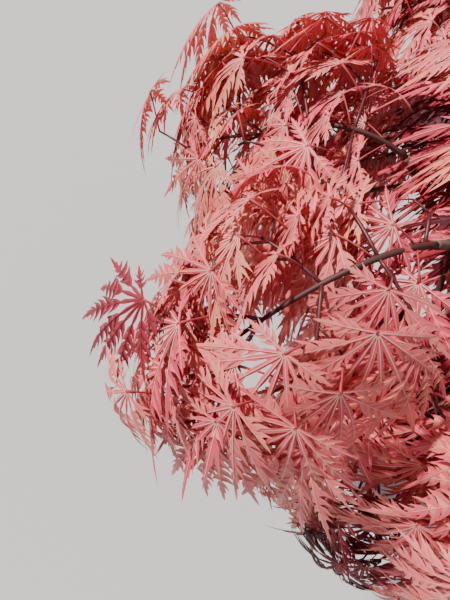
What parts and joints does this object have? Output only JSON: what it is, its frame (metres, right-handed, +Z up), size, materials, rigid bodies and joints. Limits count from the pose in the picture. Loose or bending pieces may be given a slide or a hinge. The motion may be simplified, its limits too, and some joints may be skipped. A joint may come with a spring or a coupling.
{
  "type": "potted japanese maple",
  "caption": "Young weeping maple with deeply cut red leaves on arching boughs, grafted on a short trunk and growing in a plain round black pot filled with soil.",
  "frame": {"origin": "centre of the pot's flat underside, on the ground", "axes": "+Z up along the pot's axis; the pictured side faces -Y, and -X is to its left"},
  "size_m": [0.7201, 0.7298, 0.709],
  "materials": {
    "pot": "satin black moulded plastic",
    "soil": "moist bark compost",
    "bark": "grey-brown bark, dark red on the young wood",
    "foliage": "matt coral-red leaves on dark red twigs"
  },
  "bodies": {
    "root": {"pot": "pot", "soil": "soil", "trunk": "bark", "bough_1": "bark", "bough_2": "bark", "bough_3": "bark", "bough_4": "bark", "bough_5": "bark", "bough_6": "bark", "foliage_crest": "foliage", "foliage_outer_1": "foliage", "foliage_outer_2": "foliage", "foliage_outer_3": "foliage", "foliage_outer_4": "foliage", "foliage_outer_5": "foliage", "foliage_outer_6": "foliage", "foliage_skirt_1": "foliage", "foliage_skirt_2": "foliage", "foliage_skirt_3": "foliage", "foliage_skirt_4": "foliage", "foliage_skirt_5": "foliage", "foliage_skirt_6": "foliage"}
  },
  "joints": []
}
